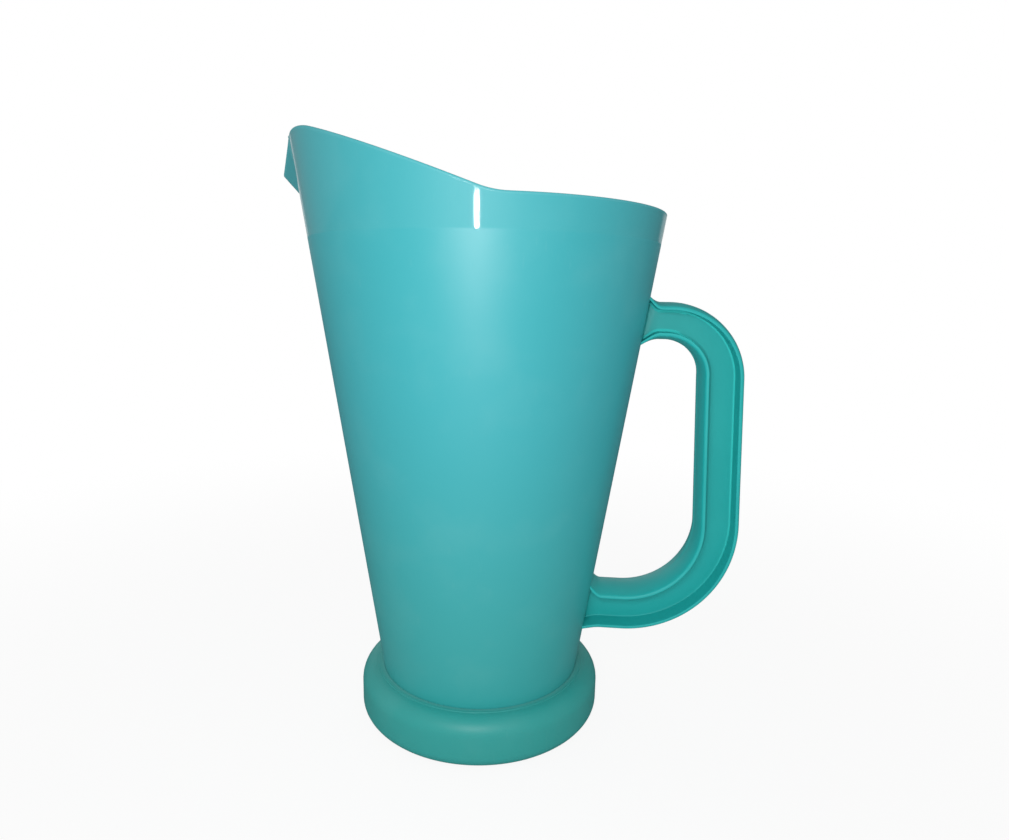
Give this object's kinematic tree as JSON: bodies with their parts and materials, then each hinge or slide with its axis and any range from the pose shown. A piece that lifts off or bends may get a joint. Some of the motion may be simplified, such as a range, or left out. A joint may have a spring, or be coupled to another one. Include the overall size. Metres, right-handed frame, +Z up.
{
  "type": "beer pitcher",
  "caption": "Tapered plastic beer pitcher with a rim swept up to a pouring beak, an I-beam handle opposite it and a rounded foot ring.",
  "frame": {"origin": "centre of the foot ring on the table, on the axis of the vessel", "axes": "+Z up along the axis of the vessel, +X towards the handle, -X towards the beak"},
  "size_m": [0.188, 0.1412, 0.2321],
  "materials": {
    "vessel_plastic": "satin moulded wall with a polished band round the rim",
    "handle_plastic": "satin moulded plastic",
    "foot_plastic": "satin moulded plastic"
  },
  "bodies": {
    "root": {"body": "vessel_plastic", "handle": "handle_plastic", "foot_ring": "foot_plastic"}
  },
  "joints": []
}
